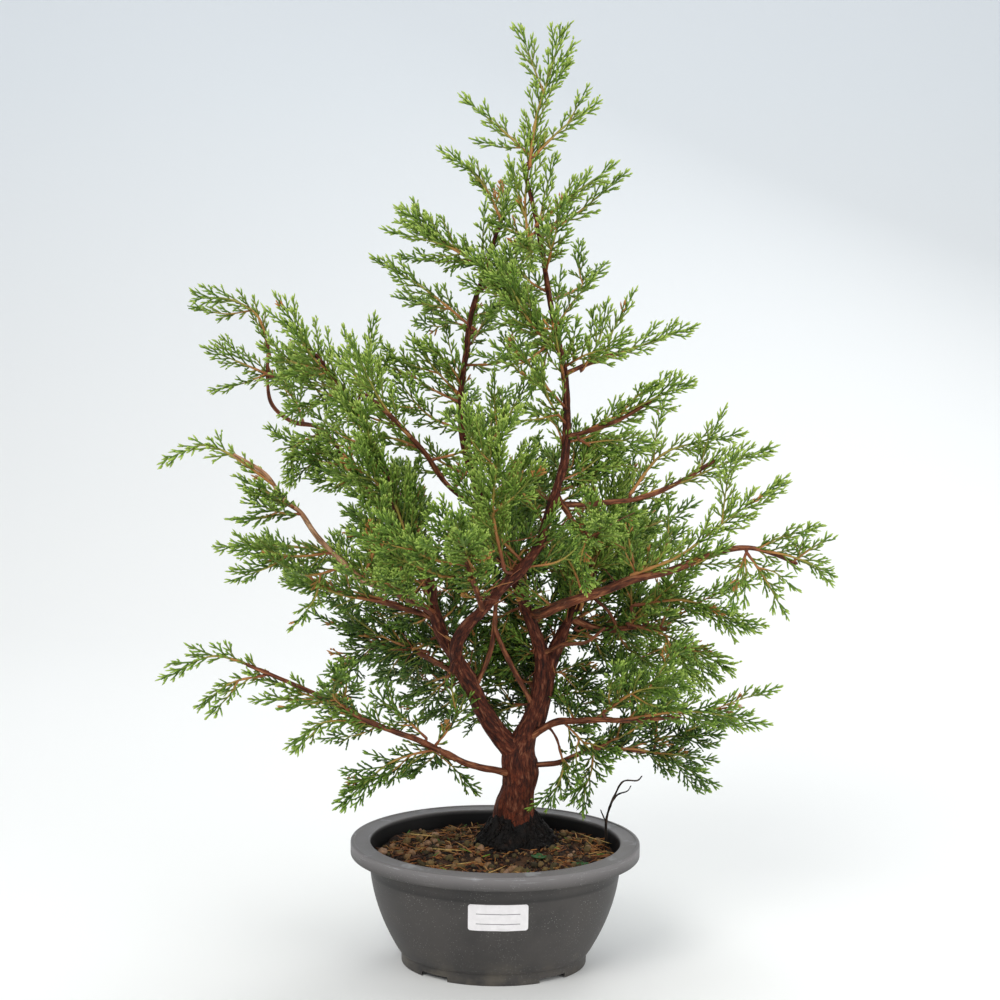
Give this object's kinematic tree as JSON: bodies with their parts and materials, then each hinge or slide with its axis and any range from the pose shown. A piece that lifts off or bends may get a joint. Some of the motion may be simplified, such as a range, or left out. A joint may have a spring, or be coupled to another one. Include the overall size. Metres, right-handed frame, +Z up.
{
  "type": "potted juniper bonsai tree",
  "caption": "Young upright juniper bonsai with feathery sprays of scale-like leaves, growing in soil in an oval plastic training pot.",
  "frame": {"origin": "middle of the pot's foot, on the surface that the pot stands on", "axes": "+Z up, X along the pot's long side, -Y the front with the label"},
  "size_m": [0.5028, 0.3359, 0.7332],
  "materials": {
    "pot_plastic": "satin",
    "soil": "matte",
    "root_mound": "matte",
    "label_paper": "satin",
    "dead_wood": "matte",
    "old_bark": "matte",
    "young_bark": "matte",
    "pale_bark": "matte",
    "foliage": "satin"
  },
  "bodies": {
    "root": {"pot_foot": "pot_plastic", "pot_bowl": "pot_plastic", "pot_rim": "pot_plastic", "soil": "soil", "label": "label_paper", "dead_twig": "dead_wood", "trunk": "old_bark", "limb_left": "old_bark", "limb_cross": "old_bark", "limb_right": "old_bark", "branch_low_left": "young_bark", "branch_low_right": "young_bark", "branch_low_back": "young_bark", "branch_right_long": "young_bark", "branch_right_shade": "young_bark", "branch_right_upper": "young_bark", "branch_right_high": "young_bark", "branch_right_top": "young_bark", "branch_left_back": "young_bark", "branch_left_front": "young_bark", "branch_left_pale": "pale_bark", "branch_left_mid": "young_bark", "branch_left_low": "young_bark", "branch_front": "young_bark", "branch_front_right": "young_bark", "branch_back": "young_bark", "branch_back_right": "young_bark", "root_mound": "root_mound", "foliage_apex": "foliage", "foliage_leader_left": "foliage", "foliage_leader_left_low": "foliage", "foliage_between_leaders": "foliage", "foliage_right_top": "foliage", "foliage_right_high": "foliage", "foliage_right_upper": "foliage", "foliage_right_inner": "foliage", "foliage_long_upper": "foliage", "foliage_long_tip": "foliage", "foliage_right_shade": "foliage", "foliage_low_right": "foliage", "foliage_low_back": "foliage", "foliage_left_crown": "foliage", "foliage_left_back": "foliage", "foliage_left_back_low": "foliage", "foliage_left_front": "foliage", "foliage_left_pale_tip": "foliage", "foliage_left_pale_low": "foliage", "foliage_left_mid": "foliage", "foliage_left_low": "foliage", "foliage_low_left_outer": "foliage", "foliage_low_left_inner": "foliage", "foliage_front_high": "foliage", "foliage_front": "foliage", "foliage_front_right": "foliage", "foliage_left_inner": "foliage", "foliage_back": "foliage", "foliage_back_high": "foliage", "foliage_back_left": "foliage", "foliage_back_right": "foliage", "foliage_back_low": "foliage"}
  },
  "joints": []
}
